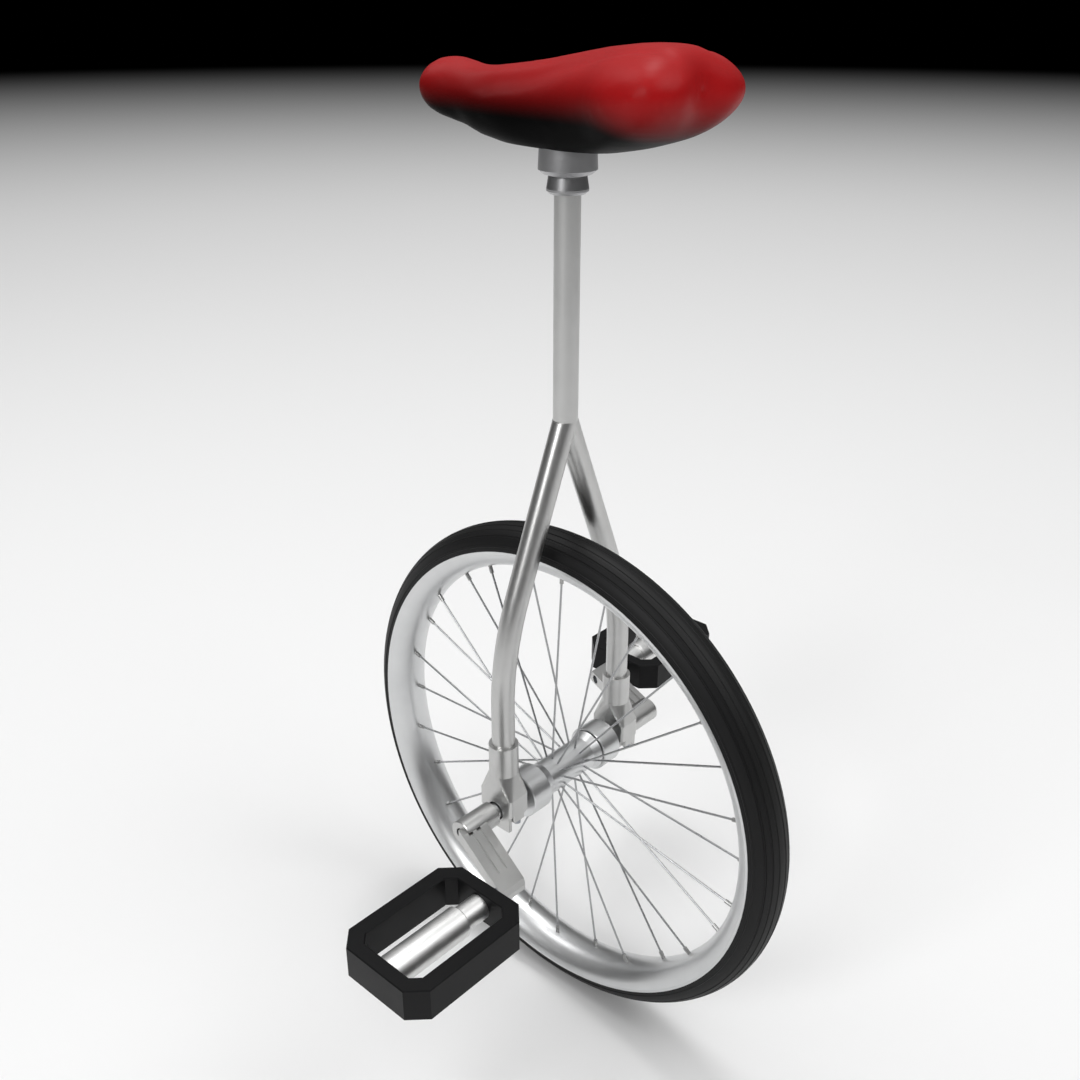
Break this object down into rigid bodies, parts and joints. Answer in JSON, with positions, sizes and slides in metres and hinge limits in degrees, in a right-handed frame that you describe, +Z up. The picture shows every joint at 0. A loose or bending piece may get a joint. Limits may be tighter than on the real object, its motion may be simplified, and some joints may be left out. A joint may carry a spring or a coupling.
{
  "type": "unicycle",
  "caption": "Unicycle with a round tube fork, clamped seat post, padded saddle, spoked wheel with pneumatic tyre, short horizontal cranks and broad cage pedals on turning spindles.",
  "frame": {"origin": "ground contact point of the tyre, directly below the middle of the wheel", "axes": "+X forwards to the saddle's nose, +Y to the rider's left along the axle, +Z up"},
  "size_m": [0.5, 0.6054, 0.902],
  "materials": {
    "frame_metal": "satin silver",
    "bearing_steel": "ground",
    "wheel_aluminium": "polished satin",
    "spoke_steel": "bright drawn wire",
    "fastener_steel": "zinc plated",
    "tyre_rubber": "matt ribbed",
    "tube_rubber": "matt",
    "black_plastic": "satin moulded",
    "barrel_metal": "cast satin",
    "bush_nylon": "natural",
    "saddle_vinyl": "glossy coated cloth",
    "saddle_foam": "open foam"
  },
  "bodies": {
    "frame": {"seat_tube": "frame_metal", "fork_leg_left": "frame_metal", "fork_leg_right": "frame_metal", "bearing_housing_left": "frame_metal", "bearing_housing_right": "frame_metal", "bearing_cap_left": "frame_metal", "bearing_cap_right": "frame_metal", "cap_screws_left": "fastener_steel", "cap_screws_right": "fastener_steel", "bearing_outer_ring_left": "bearing_steel", "bearing_outer_ring_right": "bearing_steel", "bearing_seals_left": "tube_rubber", "bearing_seals_right": "tube_rubber", "seat_clamp": "frame_metal", "seat_clamp_bolt": "fastener_steel", "seat_clamp_nut": "fastener_steel"},
    "seat": {"seat_post": "frame_metal", "seat_post_head": "frame_metal", "saddle_base": "black_plastic", "saddle_foam": "saddle_foam", "saddle_cover": "saddle_vinyl", "saddle_bolts": "fastener_steel"},
    "wheel": {"tyre": "tyre_rubber", "inner_tube": "tube_rubber", "rim": "wheel_aluminium", "rim_tape": "tube_rubber", "valve_stem": "fastener_steel", "valve_cap": "black_plastic", "spokes_left": "spoke_steel", "spokes_right": "spoke_steel", "spoke_nipples_left": "spoke_steel", "spoke_nipples_right": "spoke_steel", "hub_shell": "wheel_aluminium", "hub_cover_left": "wheel_aluminium", "hub_cover_right": "wheel_aluminium", "axle": "fastener_steel", "bearing_inner_ring_left": "bearing_steel", "bearing_inner_ring_right": "bearing_steel", "bearing_balls_left": "bearing_steel", "bearing_balls_right": "bearing_steel", "hub_spacer_left": "wheel_aluminium", "hub_spacer_right": "wheel_aluminium", "crank_spacer_left": "wheel_aluminium", "crank_spacer_right": "wheel_aluminium", "crank_left": "frame_metal", "crank_right": "frame_metal", "crank_bolt_left": "fastener_steel", "crank_bolt_right": "fastener_steel", "crank_dust_cap_left": "black_plastic", "crank_dust_cap_right": "black_plastic", "pedal_spindle_left": "fastener_steel", "pedal_spindle_right": "fastener_steel", "pedal_locknut_left": "fastener_steel", "pedal_locknut_right": "fastener_steel"},
    "pedal_left": {"pedal_frame_left": "black_plastic", "pedal_barrel_left": "barrel_metal", "pedal_bushes_left": "bush_nylon"},
    "pedal_right": {"pedal_frame_right": "black_plastic", "pedal_barrel_right": "barrel_metal", "pedal_bushes_right": "bush_nylon"}
  },
  "joints": [
    {"name": "seat_height", "type": "slide", "parent": "frame", "child": "seat", "axis": [0, 0, 1], "range_m": [0, 0.1]},
    {"name": "wheel_spin", "type": "hinge", "parent": "frame", "child": "wheel", "pos_m": [0, 0, 0.25], "axis": [0, 1, 0], "continuous": true},
    {"name": "pedal_left_spin", "type": "hinge", "parent": "wheel", "child": "pedal_left", "pos_m": [-0.077, 0.24, 0.25], "axis": [0, 1, 0], "continuous": true},
    {"name": "pedal_right_spin", "type": "hinge", "parent": "wheel", "child": "pedal_right", "pos_m": [0.077, -0.24, 0.25], "axis": [0, 1, 0], "continuous": true}
  ]
}
